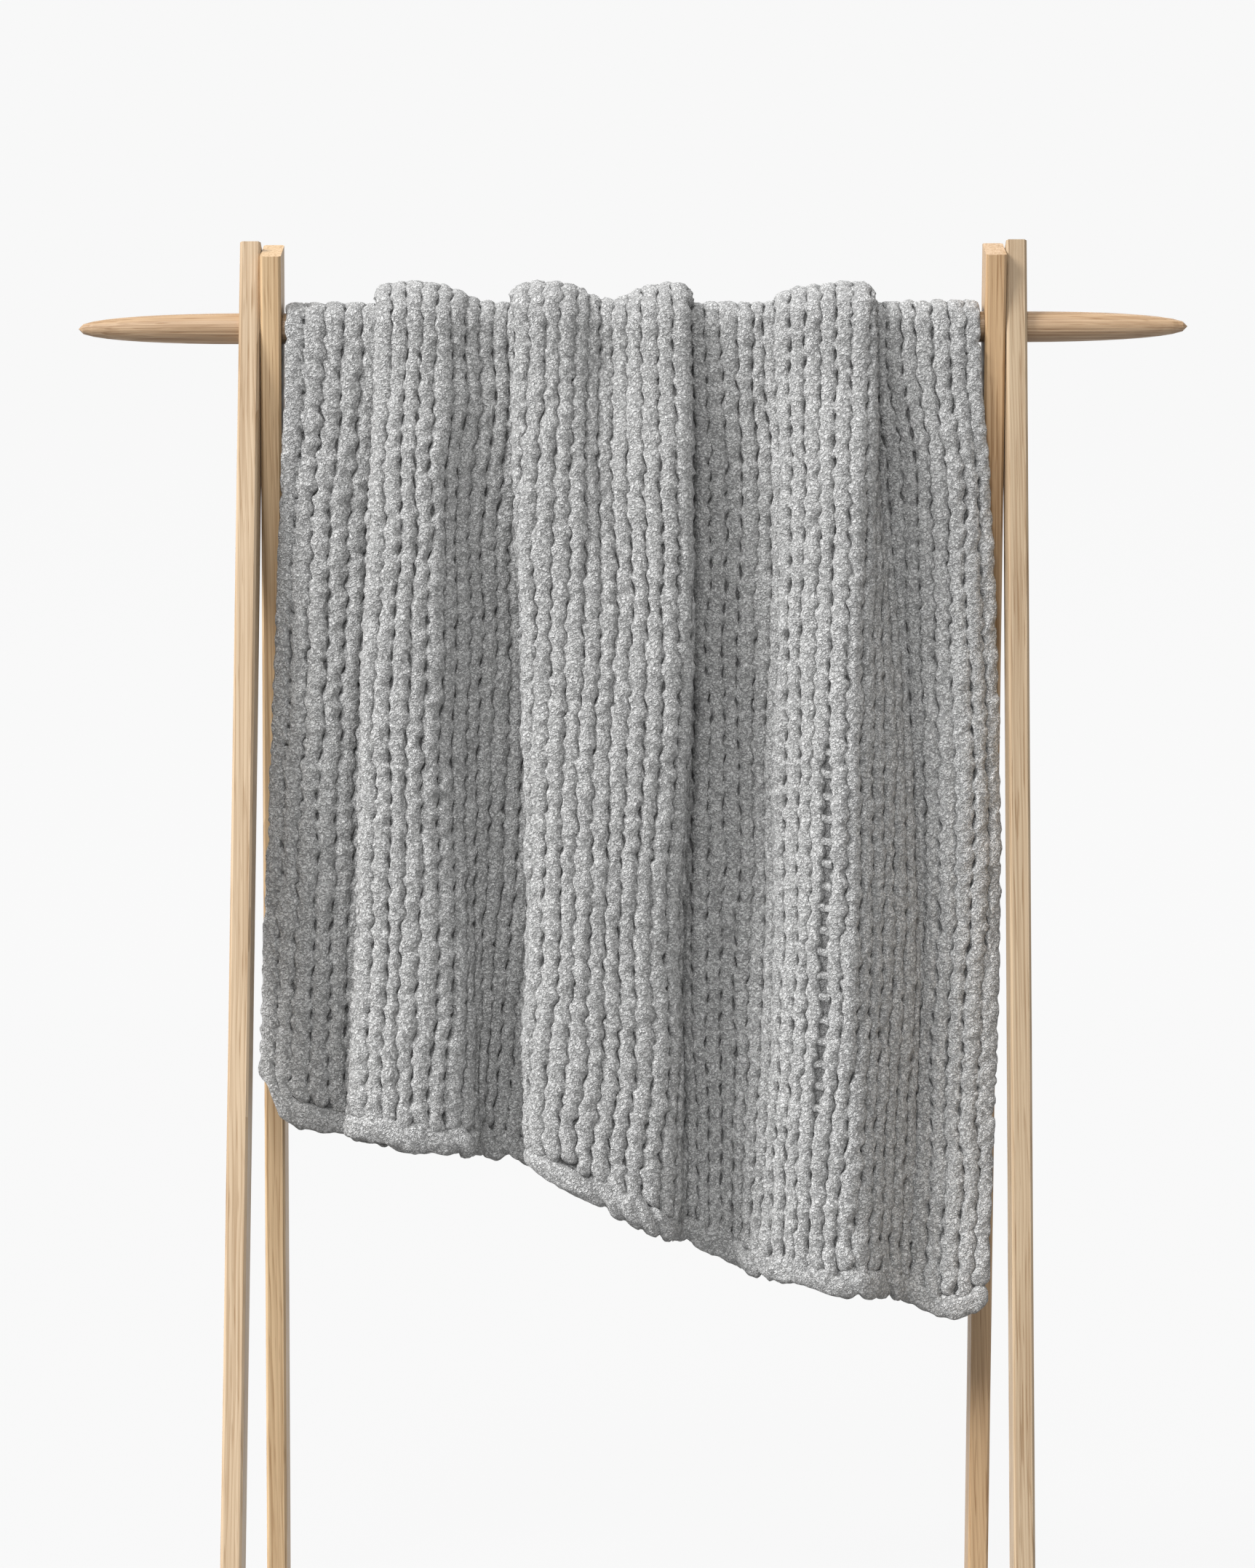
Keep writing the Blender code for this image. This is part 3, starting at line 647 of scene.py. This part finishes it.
def make_core(blanket, settings):
    """The closed sheet under the ropes; its inner side shows the knit's wrong side."""
    columns = ROPES * CORE_COLUMNS_PER_ROPE + 1
    inset = CORE_SIDE_INSET / FLAT_WIDTH
    share = np.linspace(inset, 1.0 - inset, columns)[:, None]
    along = np.linspace(CORE_HEM_INSET, FLAT_LENGTH - CORE_HEM_INSET, CORE_ROWS)[None, :]
    hanging = blanket.hanging(share, along)
    edge = np.minimum(share - inset, 1.0 - inset - share) * FLAT_WIDTH < 1e-6
    edge = edge | (np.minimum(along - along[0, 0], along[0, -1] - along) < 1e-6)
    thin = np.where(edge, 0.35, 1.0)
    wale = np.abs(np.sin(math.pi * share * ROPES / 2))
    course = np.sin(2 * math.pi * (along / settings.stitch_length + 0.5 * np.floor(share * ROPES / 2)))
    purl = PURL_DEPTH * wale * (0.5 + 0.5 * course) * hanging
    outer = blanket.place(share, along, CORE_OUTER * thin * (0.7 + 0.3 * hanging))
    inner = blanket.place(share, along, -(CORE_INNER * (0.9 + 0.1 * hanging) + purl) * thin)
    points = np.vstack((outer.reshape(-1, 3), inner.reshape(-1, 3)))
    # Painted shade: the outer side gets no crown, so the sheet that shows between the ropes and behind the ladder's
    # rungs takes the full painted groove shade; on the inner side painted shade falls in the valleys between purl
    # bumps.
    crowns = np.concatenate((np.zeros(columns * CORE_ROWS), (0.5 + 0.5 * course * wale).ravel()))

    index = np.arange(columns * CORE_ROWS).reshape(columns, CORE_ROWS)
    under = index + columns * CORE_ROWS
    a, b, c, d = index[:-1, :-1], index[1:, :-1], index[1:, 1:], index[:-1, 1:]
    faces = [np.stack((a, b, c, d), axis=-1).reshape(-1, 4)]
    a, b, c, d = under[:-1, :-1], under[1:, :-1], under[1:, 1:], under[:-1, 1:]
    faces.append(np.stack((a, d, c, b), axis=-1).reshape(-1, 4))
    rim = np.concatenate((index[:, 0], index[-1, 1:], index[-2::-1, -1], index[0, -2:0:-1]))
    rim_under = rim + columns * CORE_ROWS
    after, after_under = np.roll(rim, -1), np.roll(rim_under, -1)
    faces.append(np.stack((rim, rim_under, after_under, after), axis=-1))
    no_triangles = np.zeros((0, 3), dtype=int)
    return new_piece("knitted_cloth", points, np.vstack(faces), no_triangles, crowns)


# Materials


def new_group(name, inputs, outputs):
    """An empty shader node group with its sockets, and its input and output nodes."""
    group = bpy.data.node_groups.new(name, "ShaderNodeTree")
    for socket_name, kind, value in inputs:
        socket = group.interface.new_socket(socket_name, in_out="INPUT", socket_type=kind)
        socket.default_value = value
    for socket_name, kind in outputs:
        group.interface.new_socket(socket_name, in_out="OUTPUT", socket_type=kind)
    return group, group.nodes.new("NodeGroupInput"), group.nodes.new("NodeGroupOutput")


def add_node(tree, kind, values=(), **settings):
    """A node with its settings and its inputs, each a value or another node's output."""
    node = tree.nodes.new(kind)
    for name, value in settings.items():
        setattr(node, name, value)
    for name, value in dict(values).items():
        if isinstance(value, bpy.types.NodeSocket):
            tree.links.new(value, node.inputs[name])
        else:
            node.inputs[name].default_value = value
    return node


def mathematics(tree, operation, first, second=0.0, third=0.0):
    values = {0: first, 1: second, 2: third}
    return add_node(tree, "ShaderNodeMath", values, operation=operation).outputs[0]


def remapped(tree, value, low, high, to_low, to_high):
    values = {"Value": value, "From Min": low, "From Max": high, "To Min": to_low, "To Max": to_high}
    return add_node(tree, "ShaderNodeMapRange", values).outputs[0]


def mixed(tree, share, first, second, blend="MIX"):
    node = tree.nodes.new("ShaderNodeMix")
    node.data_type = "RGBA"
    node.blend_type = blend
    for socket, value in ((node.inputs[0], share), (node.inputs[6], first), (node.inputs[7], second)):
        if isinstance(value, bpy.types.NodeSocket):
            tree.links.new(value, socket)
        else:
            socket.default_value = value
    return node.outputs[2]


def chenille_group():
    """Short curly pile: puffy tufts with painted shade in the lines between them and a painted highlight on their
    tops, and painted groove shade deep between ropes.
    """
    group, given, result = new_group(
        "Chenille pile",
        (
            ("Colour", "NodeSocketColor", (0.6, 0.6, 0.6, 1.0)),
            ("Tuft Size", "NodeSocketFloat", 0.004),
            ("Crown", "NodeSocketFloat", 1.0),
            ("Groove Shade", "NodeSocketFloat", 0.5),
        ),
        (("Colour", "NodeSocketColor"), ("Height", "NodeSocketFloat")),
    )
    place = add_node(group, "ShaderNodeTexCoord").outputs["Object"]
    size = given.outputs["Tuft Size"]
    scale = mathematics(group, "DIVIDE", 1.0, size)
    curls = add_node(group, "ShaderNodeTexNoise", {"Vector": place, "Scale": scale, "Detail": 1.0})
    centred = add_node(
        group, "ShaderNodeVectorMath", {0: curls.outputs["Color"], 1: (0.5, 0.5, 0.5)}, operation="SUBTRACT"
    ).outputs[0]
    reach = mathematics(group, "MULTIPLY", size, 2.4)
    pull = add_node(group, "ShaderNodeVectorMath", {0: centred, "Scale": reach}, operation="SCALE").outputs[0]
    curled = add_node(group, "ShaderNodeVectorMath", {0: place, 1: pull}, operation="ADD").outputs[0]
    tufts = add_node(group, "ShaderNodeTexVoronoi", {"Vector": curled, "Scale": scale}).outputs[0]
    fine_scale = mathematics(group, "MULTIPLY", scale, 2.2)
    loops = add_node(group, "ShaderNodeTexVoronoi", {"Vector": curled, "Scale": fine_scale}).outputs[0]
    round_tufts = remapped(group, tufts, 0.10, 0.80, 1.0, 0.0)
    round_loops = remapped(group, loops, 0.10, 0.80, 1.0, 0.0)
    height = mathematics(group, "MULTIPLY_ADD", round_tufts, 0.66, mathematics(group, "MULTIPLY", round_loops, 0.34))
    clump_scale = mathematics(group, "MULTIPLY", scale, 0.45)
    clumps = add_node(
        group, "ShaderNodeTexNoise", {"Vector": place, "Scale": clump_scale, "Detail": 2.0}
    ).outputs[0]
    # Painted shade and highlight: the colour falls to 0.44 of itself in the low lines between tufts and rises to 1.26
    # of itself on their tops.
    tuft_shade = remapped(group, height, 0.22, 0.72, 0.44, 1.26)
    patch_shade = remapped(group, clumps, 0.34, 0.66, 0.92, 1.06)
    # Painted groove shade: where the crown value is low the colour darkens, down to the Groove Shade share.
    groove_shade = remapped(group, given.outputs["Crown"], 0.0, 0.70, given.outputs["Groove Shade"], 1.0)
    shade = mathematics(group, "MULTIPLY", mathematics(group, "MULTIPLY", tuft_shade, patch_shade), groove_shade)
    shade_colour = add_node(
        group, "ShaderNodeCombineColor", {"Red": shade, "Green": shade, "Blue": shade}
    ).outputs[0]
    colour = mixed(group, 1.0, given.outputs["Colour"], shade_colour, "MULTIPLY")
    group.links.new(colour, result.inputs["Colour"])
    group.links.new(height, result.inputs["Height"])
    return group


def new_material(name, roughness):
    material = bpy.data.materials.new(name)
    material.use_nodes = True
    shader = material.node_tree.nodes["Principled BSDF"]
    shader.inputs["Roughness"].default_value = roughness
    return material, material.node_tree, shader


def bumped(tree, shader, height, strength, distance):
    bump = add_node(tree, "ShaderNodeBump", {"Height": height, "Strength": strength, "Distance": distance})
    tree.links.new(bump.outputs[0], shader.inputs["Normal"])


def yarn_material(group, name, settings, groove_shade):
    material, tree, shader = new_material(name, 0.95)
    shader.inputs["Specular IOR Level"].default_value = 0.15
    shader.inputs["Sheen Weight"].default_value = 0.35
    shader.inputs["Sheen Roughness"].default_value = 0.6
    # The crown attribute sets where the pile group paints groove shade.
    crown = add_node(tree, "ShaderNodeAttribute", attribute_name="crown").outputs["Fac"]
    pile = tree.nodes.new("ShaderNodeGroup")
    pile.node_tree = group
    pile.inputs["Colour"].default_value = (*settings.colour, 1.0)
    pile.inputs["Tuft Size"].default_value = settings.tuft_size
    pile.inputs["Groove Shade"].default_value = groove_shade
    tree.links.new(crown, pile.inputs["Crown"])
    tree.links.new(pile.outputs["Colour"], shader.inputs["Base Color"])
    bumped(tree, shader, pile.outputs["Height"], 1.0, settings.pile_depth)
    return material


def oak_group():
    """Straight-grained oak: growth rings round an axis along the board, pores and flecks."""
    group, given, result = new_group(
        "Oak grain",
        (
            ("Light Colour", "NodeSocketColor", (0.6, 0.45, 0.3, 1.0)),
            ("Dark Colour", "NodeSocketColor", (0.4, 0.27, 0.16, 1.0)),
            ("Place", "NodeSocketVector", (0.0, 0.0, 0.0)),
            ("Ring Width", "NodeSocketFloat", 0.0035),
        ),
        (("Colour", "NodeSocketColor"), ("Roughness", "NodeSocketFloat"), ("Height", "NodeSocketFloat")),
    )
    place = given.outputs["Place"]
    slow = add_node(group, "ShaderNodeVectorMath", {0: place, 1: (9.0, 9.0, 1.1)}, operation="MULTIPLY").outputs[0]
    waver = add_node(group, "ShaderNodeTexNoise", {"Vector": slow, "Scale": 1.0, "Detail": 3.0}, noise_dimensions="3D")
    shifted = add_node(
        group, "ShaderNodeVectorMath", {0: waver.outputs["Color"], 1: (0.035, 0.035, 0.0), 2: place},
        operation="MULTIPLY_ADD",
    ).outputs[0]
    flat = add_node(group, "ShaderNodeVectorMath", {0: shifted, 1: (1.0, 1.0, 0.0)}, operation="MULTIPLY").outputs[0]
    radius = add_node(group, "ShaderNodeVectorMath", {0: flat}, operation="LENGTH").outputs["Value"]
    ring = mathematics(group, "DIVIDE", radius, given.outputs["Ring Width"])
    ring_part = mathematics(group, "FRACT", ring)
    late_wood = mathematics(group, "POWER", ring_part, 2.2)
    pore_place = add_node(
        group, "ShaderNodeVectorMath", {0: place, 1: (420.0, 420.0, 14.0)}, operation="MULTIPLY"
    ).outputs[0]
    pores = add_node(group, "ShaderNodeTexNoise", {"Vector": pore_place, "Scale": 1.0, "Detail": 1.0}).outputs[0]
    pore_marks = remapped(group, pores, 0.60, 0.72, 0.0, 1.0)
    streak_place = add_node(
        group, "ShaderNodeVectorMath", {0: place, 1: (260.0, 260.0, 3.2)}, operation="MULTIPLY"
    ).outputs[0]
    streaks = add_node(group, "ShaderNodeTexNoise", {"Vector": streak_place, "Scale": 1.0, "Detail": 4.0}).outputs[0]
    patch_place = add_node(
        group, "ShaderNodeVectorMath", {0: place, 1: (16.0, 16.0, 3.5)}, operation="MULTIPLY"
    ).outputs[0]
    patches = add_node(group, "ShaderNodeTexNoise", {"Vector": patch_place, "Scale": 1.0, "Detail": 2.0}).outputs[0]
    darkness = mathematics(group, "MULTIPLY", late_wood, 0.50)
    darkness = mathematics(group, "ADD", darkness, remapped(group, streaks, 0.38, 0.66, -0.16, 0.50))
    darkness = mathematics(group, "ADD", darkness, remapped(group, patches, 0.3, 0.7, -0.12, 0.16))
    darkness = mathematics(group, "MULTIPLY_ADD", pore_marks, 0.55, darkness)
    colour = mixed(group, darkness, given.outputs["Light Colour"], given.outputs["Dark Colour"])
    group.links.new(colour, result.inputs["Colour"])
    group.links.new(remapped(group, darkness, 0.0, 1.0, 0.42, 0.62), result.inputs["Roughness"])
    height = mathematics(group, "MULTIPLY", darkness, -1.0)
    group.links.new(height, result.inputs["Height"])
    return group


# Each board or rod: the turn that lays its grain along z, where its tree's heart lies, and tint. The tint shifts and
# mostly darkens each copy's oak; this is partly the wood's own tone and partly painted shade.
WoodLook = namedtuple("WoodLook", "node lean_x lean_y heart tint")
WOODS = (
    WoodLook("rod", 0.0, math.pi / 2, (0.035, 0.09, 0.0), (0.72, 0.71, 0.71)),
    WoodLook("leg_front_left", LEG_SPLAY, SIDE_LEAN, (0.54, 0.10, 3.0), (0.88, 0.96, 1.06)),
    WoodLook("leg_front_right", LEG_SPLAY, SIDE_LEAN, (-0.40, 0.13, 7.0), (0.70, 0.76, 0.82)),
    WoodLook("leg_back_left", -LEG_SPLAY, SIDE_LEAN, (0.50, -0.09, 12.0), (0.96, 0.98, 0.94)),
    WoodLook("leg_back_right", -LEG_SPLAY, SIDE_LEAN, (-0.52, -0.08, 19.0), (0.80, 0.77, 0.70)),
)


def oak_material(group, look, settings):
    material, tree, shader = new_material("oak_" + look.node, 0.5)
    shader.inputs["Specular IOR Level"].default_value = 0.4
    place = add_node(tree, "ShaderNodeTexCoord").outputs["Object"]
    turned = add_node(
        tree, "ShaderNodeMapping",
        {"Vector": place, "Rotation": (look.lean_x, look.lean_y, 0.0), "Location": look.heart},
        vector_type="POINT",
    ).outputs[0]
    grain = tree.nodes.new("ShaderNodeGroup")
    grain.node_tree = group
    # Painted shade in part: the tint darkens this copy of the oak.
    light = [part * shade for part, shade in zip(settings.light_colour, look.tint)]
    dark = [part * shade for part, shade in zip(settings.dark_colour, look.tint)]
    grain.inputs["Light Colour"].default_value = (*light, 1.0)
    grain.inputs["Dark Colour"].default_value = (*dark, 1.0)
    grain.inputs["Ring Width"].default_value = settings.ring_width
    tree.links.new(turned, grain.inputs["Place"])
    tree.links.new(grain.outputs["Colour"], shader.inputs["Base Color"])
    tree.links.new(grain.outputs["Roughness"], shader.inputs["Roughness"])
    bumped(tree, shader, grain.outputs["Height"], 0.25, 0.0006)
    return material


# Stage


def backdrop_mesh(half_width, front, back, height, curve_radius, steps=16):
    """A floor that turns up into a wall through a quarter round."""
    profile = [(front, 0.0), (back - curve_radius, 0.0)]
    for step in range(1, steps + 1):
        turn = math.pi / 2 * step / steps
        y = back - curve_radius + curve_radius * math.sin(turn)
        profile.append((y, curve_radius * (1 - math.cos(turn))))
    profile.append((back, height))
    points = [(x, y, z) for y, z in profile for x in (-half_width, half_width)]
    faces = [(2 * i, 2 * i + 1, 2 * i + 3, 2 * i + 2) for i in range(len(profile) - 1)]
    mesh = bpy.data.meshes.new("studio_backdrop")
    mesh.from_pydata(points, [], faces)
    mesh.shade_smooth()
    return mesh


def make_backdrop(settings):
    backdrop = bpy.data.objects.new("studio_backdrop", backdrop_mesh(16.0, -16.0, 16.0, 16.0, 3.0))
    bpy.context.collection.objects.link(backdrop)
    material, tree, shader = new_material("studio_paper", 0.9)
    shader.inputs["Base Color"].default_value = (0.02, 0.02, 0.02, 1.0)
    shader.inputs["Specular IOR Level"].default_value = 0.0
    shader.inputs["Emission Color"].default_value = (1.0, 1.0, 1.0, 1.0)
    shader.inputs["Emission Strength"].default_value = settings.backdrop_glow
    backdrop.data.materials.append(material)
    backdrop.visible_diffuse = False


def make_sun(name, azimuth, elevation, strength, softness):
    """A lamp whose light comes from the given side; azimuth 0 is from the camera's side."""
    lamp = bpy.data.lights.new(name, "SUN")
    lamp.energy = strength
    lamp.angle = math.radians(softness)
    thing = bpy.data.objects.new(name, lamp)
    turn, rise = math.radians(azimuth), math.radians(elevation)
    towards = Vector((math.sin(turn) * math.cos(rise), -math.cos(turn) * math.cos(rise), math.sin(rise)))
    thing.rotation_mode = "QUATERNION"
    thing.rotation_quaternion = towards.to_track_quat("Z", "Y")
    bpy.context.collection.objects.link(thing)


def make_camera():
    """A level camera that puts the rod's tips and axis where the photo has them."""
    rod_length = ROD_BOX[1][0] - ROD_BOX[0][0]
    pixels_per_metre = (ROD_TIP_RIGHT_X - ROD_TIP_LEFT_X) / rod_length
    rod_middle = (ROD_TIP_LEFT_X + ROD_TIP_RIGHT_X) / 2
    camera = bpy.data.cameras.new("camera")
    camera.sensor_width = SENSOR
    camera.lens = SENSOR * pixels_per_metre * CAMERA_DISTANCE / IMAGE_HEIGHT
    thing = bpy.data.objects.new("camera", camera)
    thing.location = (
        (IMAGE_WIDTH / 2 - rod_middle) / pixels_per_metre,
        -CAMERA_DISTANCE,
        ROD_HEIGHT - (IMAGE_HEIGHT / 2 - ROD_AXIS_Y) / pixels_per_metre,
    )
    thing.rotation_euler = (math.pi / 2, CAMERA_ROLL, 0.0)
    bpy.context.collection.objects.link(thing)
    bpy.context.scene.camera = thing


def make_world(settings):
    world = bpy.data.worlds.new("studio_air")
    world.use_nodes = True
    background = world.node_tree.nodes["Background"]
    background.inputs["Color"].default_value = (1.0, 1.0, 1.0, 1.0)
    background.inputs["Strength"].default_value = settings.ambient
    bpy.context.scene.world = world
    bpy.context.scene.view_settings.view_transform = "Standard"


# Settings, operators and panel


class YarnSettings(bpy.types.PropertyGroup):
    colour: FloatVectorProperty(
        name="Yarn colour", description="Colour of the chenille yarn's pile",
        subtype="COLOR", default=(0.60, 0.60, 0.595), min=0.0, max=1.0,
    )
    stitch_length: FloatProperty(
        name="Stitch length", description="Length of one stitch along a rope",
        default=0.0276, min=0.015, max=0.06, subtype="DISTANCE", unit="LENGTH",
    )
    rope_height: FloatProperty(
        name="Rope height", description="Height of a rope's crown above the cloth's middle",
        default=0.0105, min=0.004, max=0.016, subtype="DISTANCE", unit="LENGTH",
    )
    fill: FloatProperty(
        name="Rope fullness", description="Share of its column's width that a rope fills",
        default=1.10, min=0.7, max=1.2, subtype="FACTOR",
    )
    pinch_depth: FloatProperty(
        name="Pinch depth", description="How far a rope narrows between two stitches",
        default=0.13, min=0.0, max=0.6, subtype="FACTOR",
    )
    tuft_size: FloatProperty(
        name="Tuft size", description="Size of one curl of the pile",
        default=0.0038, min=0.001, max=0.02, subtype="DISTANCE", unit="LENGTH",
    )
    pile_depth: FloatProperty(
        name="Pile depth", description="Depth of the pile's relief",
        default=0.0040, min=0.0, max=0.01, subtype="DISTANCE", unit="LENGTH",
    )
    seed: IntProperty(name="Seed", description="Start of the stitches' unevenness", default=11, min=0)


class OakSettings(bpy.types.PropertyGroup):
    light_colour: FloatVectorProperty(
        name="Light oak", description="Colour of the early wood",
        subtype="COLOR", default=(0.62, 0.43, 0.26), min=0.0, max=1.0,
    )
    dark_colour: FloatVectorProperty(
        name="Dark oak", description="Colour of the late wood and pores",
        subtype="COLOR", default=(0.36, 0.21, 0.10), min=0.0, max=1.0,
    )
    ring_width: FloatProperty(
        name="Ring width", description="Width of one year's growth",
        default=0.0034, min=0.001, max=0.02, subtype="DISTANCE", unit="LENGTH",
    )


class StageSettings(bpy.types.PropertyGroup):
    key_strength: FloatProperty(
        name="Key light", description="Strength of the light from the camera's side",
        default=1.65, min=0.0, max=20.0,
    )
    side_strength: FloatProperty(
        name="Side light", description="Strength of the light from far left that rakes over the ropes",
        default=4.2, min=0.0, max=20.0,
    )
    back_strength: FloatProperty(
        name="Back light", description="Strength of the soft light from behind",
        default=1.4, min=0.0, max=20.0,
    )
    ambient: FloatProperty(
        name="Ambient light", description="Strength of the even light all round",
        default=0.45, min=0.0, max=5.0,
    )
    backdrop_glow: FloatProperty(
        name="Backdrop glow", description="Light that the paper adds to its own brightness",
        default=0.912, min=0.0, max=2.0,
    )


class MESH_OT_dress_blanket(bpy.types.Operator):
    """Lay the knitted cloth, its yarn ropes and its hems over the rod"""
    bl_idname = "mesh.dress_blanket"
    bl_label = "Dress the blanket"

    def execute(self, context):
        settings = context.scene.blanket_yarn
        blanket = Blanket()
        group = chenille_group()
        core = make_core(blanket, settings)
        ropes = make_ropes(blanket, settings)
        hems = [
            make_hem(blanket, settings, "hem_front", HEM_HALF_HEIGHT, settings.seed + 501),
            make_hem(blanket, settings, "hem_back", FLAT_LENGTH - HEM_HALF_HEIGHT, settings.seed + 601),
        ]
        rungs = make_ladder_rungs(blanket, settings)
        # Painted groove shade: the wrong side darkens to 0.28 of its colour where its crown value is low, the ropes,
        # hems and rungs to 0.40.
        core.data.materials.append(yarn_material(group, "yarn_wrong_side", settings, 0.28))
        pile = yarn_material(group, "yarn_pile", settings, 0.40)
        for piece in (*ropes, *hems, rungs):
            piece.data.materials.append(pile)
        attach(core, BODY)
        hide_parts("blanket")
        for piece in (*ropes, *hems, rungs):
            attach(piece, BODY)
        return {"FINISHED"}


class OBJECT_OT_finish_rack(bpy.types.Operator):
    """Give the rod and the four boards their oak"""
    bl_idname = "object.finish_rack"
    bl_label = "Finish the rack"

    def execute(self, context):
        settings = context.scene.rack_oak
        group = oak_group()
        for look in WOODS:
            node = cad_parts[look.node]
            material = oak_material(group, look, settings)
            for slot in node.material_slots:
                slot.material = material
        return {"FINISHED"}


class SCENE_OT_set_studio(bpy.types.Operator):
    """Set the pale backdrop, the soft lights and the camera"""
    bl_idname = "scene.set_studio"
    bl_label = "Set the studio"

    def execute(self, context):
        settings = context.scene.studio_stage
        make_backdrop(settings)
        make_world(settings)
        make_sun("key_light", -9, 40, settings.key_strength, 16)
        make_sun("side_light", -64, 36, settings.side_strength, 26)
        make_sun("back_light", 160, 32, settings.back_strength, 40)
        make_camera()
        return {"FINISHED"}


class VIEW3D_PT_knit_blanket(bpy.types.Panel):
    """Sizes, colours and steps of the knit blanket"""
    bl_label = "Knit blanket"
    bl_idname = "VIEW3D_PT_knit_blanket"
    bl_space_type = "VIEW_3D"
    bl_region_type = "UI"
    bl_category = "Knit blanket"

    def draw(self, context):
        layout = self.layout
        for group, operator in (
            (context.scene.blanket_yarn, MESH_OT_dress_blanket),
            (context.scene.rack_oak, OBJECT_OT_finish_rack),
            (context.scene.studio_stage, SCENE_OT_set_studio),
        ):
            box = layout.box()
            for name in group.__annotations__:
                box.prop(group, name)
            box.operator(operator.bl_idname)


CLASSES = (
    YarnSettings,
    OakSettings,
    StageSettings,
    MESH_OT_dress_blanket,
    OBJECT_OT_finish_rack,
    SCENE_OT_set_studio,
    VIEW3D_PT_knit_blanket,
)


def register():
    for cls in CLASSES:
        bpy.utils.register_class(cls)
    bpy.types.Scene.blanket_yarn = PointerProperty(type=YarnSettings)
    bpy.types.Scene.rack_oak = PointerProperty(type=OakSettings)
    bpy.types.Scene.studio_stage = PointerProperty(type=StageSettings)


def unregister():
    del bpy.types.Scene.studio_stage
    del bpy.types.Scene.rack_oak
    del bpy.types.Scene.blanket_yarn
    for cls in reversed(CLASSES):
        bpy.utils.unregister_class(cls)


def main():
    register()
    bpy.ops.scene.set_studio()
    bpy.ops.mesh.dress_blanket()
    bpy.ops.object.finish_rack()


if __name__ == "__main__":
    main()
